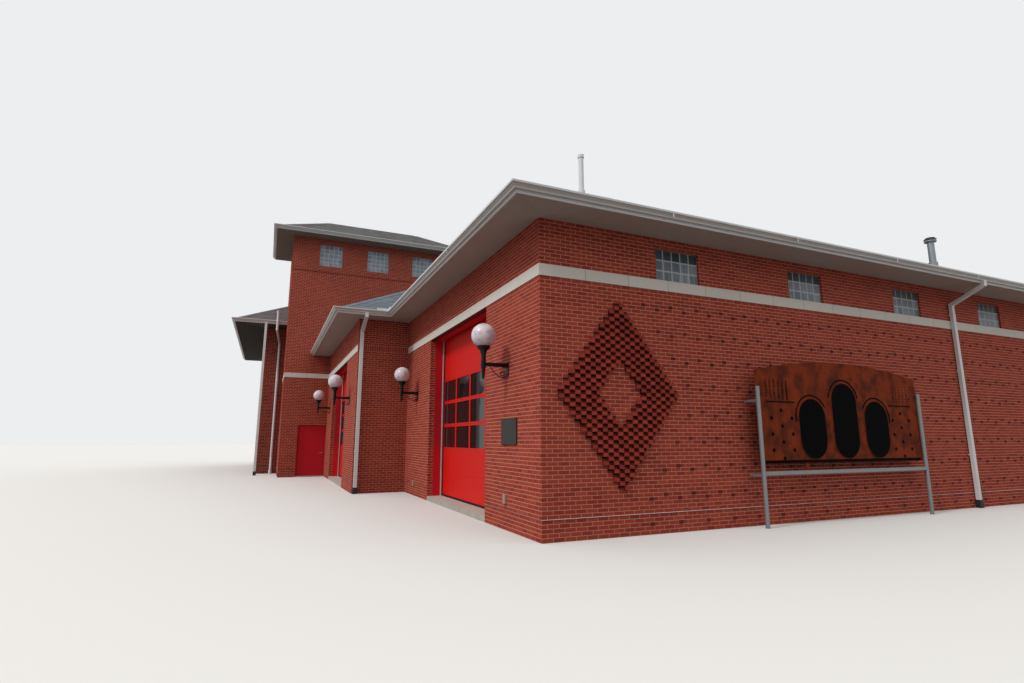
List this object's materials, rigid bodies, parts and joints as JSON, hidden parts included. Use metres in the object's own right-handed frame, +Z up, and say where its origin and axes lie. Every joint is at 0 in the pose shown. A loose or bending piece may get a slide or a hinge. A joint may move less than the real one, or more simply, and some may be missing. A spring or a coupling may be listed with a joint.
{
  "type": "fire station building",
  "caption": "Brick fire station: twin truck bays with red overhead doors under hipped roofs, a square tower with a hinged door, a two-storey wing, globe lamps and a steel panel.",
  "frame": {"origin": "ground level at the middle of the footprint of the whole building, eaves and gutters included", "axes": "+X to the right along the front with the bay doors, +Y from the bay doors to the back, +Z up"},
  "size_m": [34.7404, 26.3076, 12.2135],
  "materials": {
    "brick": "rough modular brick in running bond, plain outside; painted block inside",
    "limestone": "smooth sawn limestone",
    "concrete": "trowelled concrete",
    "glass_block": "wavy glass blocks in mortar",
    "shingles": "mineral-surfaced asphalt shingles on a boarded deck",
    "eave_boards": "satin prefinished soffit and fascia boards",
    "gutter_metal": "satin pale grey coil-coated aluminium",
    "red_paint": "satin bright red enamel on steel",
    "door_glass": "clear insulated glass",
    "track_metal": "galvanized steel",
    "threshold_metal": "worn mill aluminium",
    "lamp_metal": "satin black powder coat",
    "globe_plastic": "milky white acrylic globe",
    "white_pipe": "weathered white plastic pipe",
    "flue_metal": "dull grey galvanized sheet",
    "boot_iron": "black painted iron",
    "post_metal": "hot-dip galvanized steel",
    "rust_steel": "weathering steel with an even rust coat",
    "plaque_metal": "dark patinated bronze, blank face"
  },
  "bodies": {
    "building": {"bay_a_piers": "brick", "bay_a_wall_over_door": "brick", "bay_b_piers": "brick", "bay_b_return_wall": "brick", "bay_b_wall_over_door": "brick", "bay_door_a": "red_paint", "bay_door_b": "red_paint", "bay_door_frames": "red_paint", "bay_door_glass": "door_glass", "bay_door_tracks": "track_metal", "bay_left_wall": "brick", "bay_windows": "glass_block", "bays_eaves": "eave_boards", "bays_roof": "shingles", "corner_leader": "white_pipe", "downspout_boots": "boot_iron", "downspouts": "gutter_metal", "floor_slabs": "concrete", "flue_pipe": "flue_metal", "gutters": "gutter_metal", "lamp_brackets": "lamp_metal", "lamp_globes": "globe_plastic", "panel_posts": "post_metal", "plaque": "plaque_metal", "rear_wall": "brick", "side_wall": "brick", "steel_panel": "rust_steel", "stone_band": "limestone", "tower_door_frame": "red_paint", "tower_door_piers": "brick", "tower_door_threshold": "threshold_metal", "tower_eaves": "eave_boards", "tower_front_wall": "brick", "tower_left_wall": "brick", "tower_rear_wall": "brick", "tower_roof": "shingles", "tower_side_wall": "brick", "tower_windows": "glass_block", "vent_pipe": "white_pipe", "wing_corner_wall": "brick", "wing_eaves": "eave_boards", "wing_front_wall": "brick", "wing_left_wall": "brick", "wing_rear_wall": "brick", "wing_roof": "shingles", "wing_windows": "glass_block"},
    "tower_door_leaf": {"tower_door": "red_paint"}
  },
  "joints": [
    {"name": "tower_door_hinge", "type": "hinge", "parent": "building", "child": "tower_door_leaf", "pos_m": [-1.561, -10.0309, 1.1], "axis": [0, 0, -1], "range_deg": [0, 90]}
  ]
}
